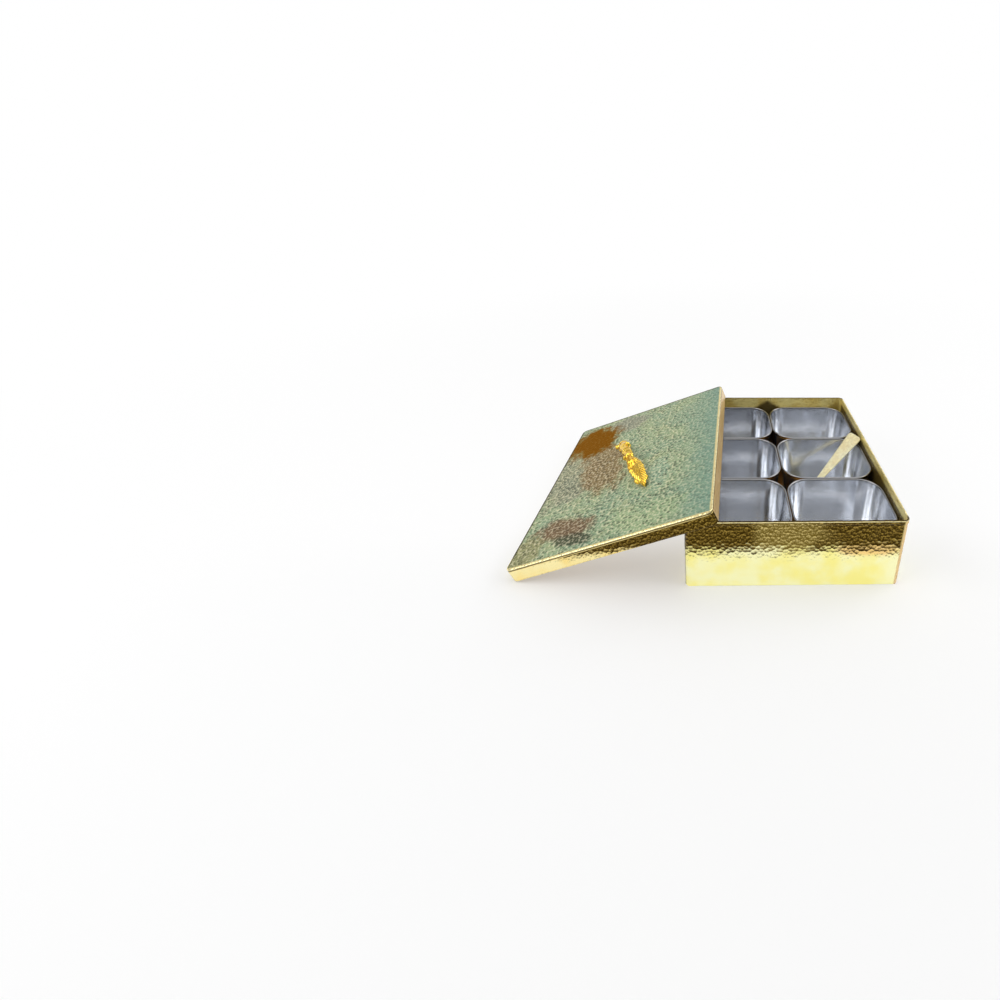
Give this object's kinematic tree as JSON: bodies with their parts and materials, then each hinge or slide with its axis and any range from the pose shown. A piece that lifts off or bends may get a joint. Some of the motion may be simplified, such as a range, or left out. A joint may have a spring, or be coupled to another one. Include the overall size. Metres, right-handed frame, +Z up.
{
  "type": "nut box with bowls",
  "caption": "Low rectangular hammered brass box holding loose steel bowls for nuts, with a small spoon and a flat lift-off lid with a cast handle, shown leaning on the box.",
  "frame": {"origin": "middle of the box's flat underside", "axes": "+X to the right along the box's shorter side, away from the leaning lid, +Y to the back along the box's longer side, +Z up"},
  "size_m": [0.3722, 0.2706, 0.093],
  "materials": {
    "hammered_brass": "polished and hammered",
    "brass_sheet": "satin sheet",
    "patina_brass": "hammered, turquoise and copper-brown patina under lacquer",
    "cast_brass": "polished casting",
    "bowl_steel": "pressed stainless steel, polished",
    "pale_brass": "pale, finely hammered",
    "screw_steel": "plain"
  },
  "bodies": {
    "box": {"box_wall": "hammered_brass", "box_floor": "brass_sheet"},
    "lid": {"lid_skirt": "hammered_brass", "lid_plate": "patina_brass", "lid_handle": "cast_brass", "handle_screws": "screw_steel", "handle_washers": "screw_steel"},
    "bowl_front_left": {"bowl_front_left": "bowl_steel"},
    "bowl_front_right": {"bowl_front_right": "bowl_steel"},
    "bowl_mid_left": {"bowl_mid_left": "bowl_steel"},
    "bowl_mid_right": {"bowl_mid_right": "bowl_steel"},
    "bowl_back_left": {"bowl_back_left": "bowl_steel"},
    "bowl_back_right": {"bowl_back_right": "bowl_steel"},
    "spoon": {"spoon": "pale_brass"}
  },
  "joints": [
    {"name": "lid_lift", "type": "slide", "parent": "box", "child": "lid", "axis": [0, 0, 1], "range_m": [0, 0.13]},
    {"name": "bowl_front_left_lift", "type": "slide", "parent": "box", "child": "bowl_front_left", "axis": [0, 0, 1], "range_m": [0, 0.013]},
    {"name": "bowl_front_right_lift", "type": "slide", "parent": "box", "child": "bowl_front_right", "axis": [0, 0, 1], "range_m": [0, 0.085]},
    {"name": "bowl_mid_left_lift", "type": "slide", "parent": "box", "child": "bowl_mid_left", "axis": [0, 0, 1], "range_m": [0, 0.013]},
    {"name": "bowl_mid_right_lift", "type": "slide", "parent": "box", "child": "bowl_mid_right", "axis": [0, 0, 1], "range_m": [0, 0.085]},
    {"name": "bowl_back_left_lift", "type": "slide", "parent": "box", "child": "bowl_back_left", "axis": [0, 0, 1], "range_m": [0, 0.013]},
    {"name": "bowl_back_right_lift", "type": "slide", "parent": "box", "child": "bowl_back_right", "axis": [0, 0, 1], "range_m": [0, 0.085]},
    {"name": "spoon_lift", "type": "slide", "parent": "bowl_mid_right", "child": "spoon", "axis": [0, 0, 1], "range_m": [0, 0.09]}
  ]
}
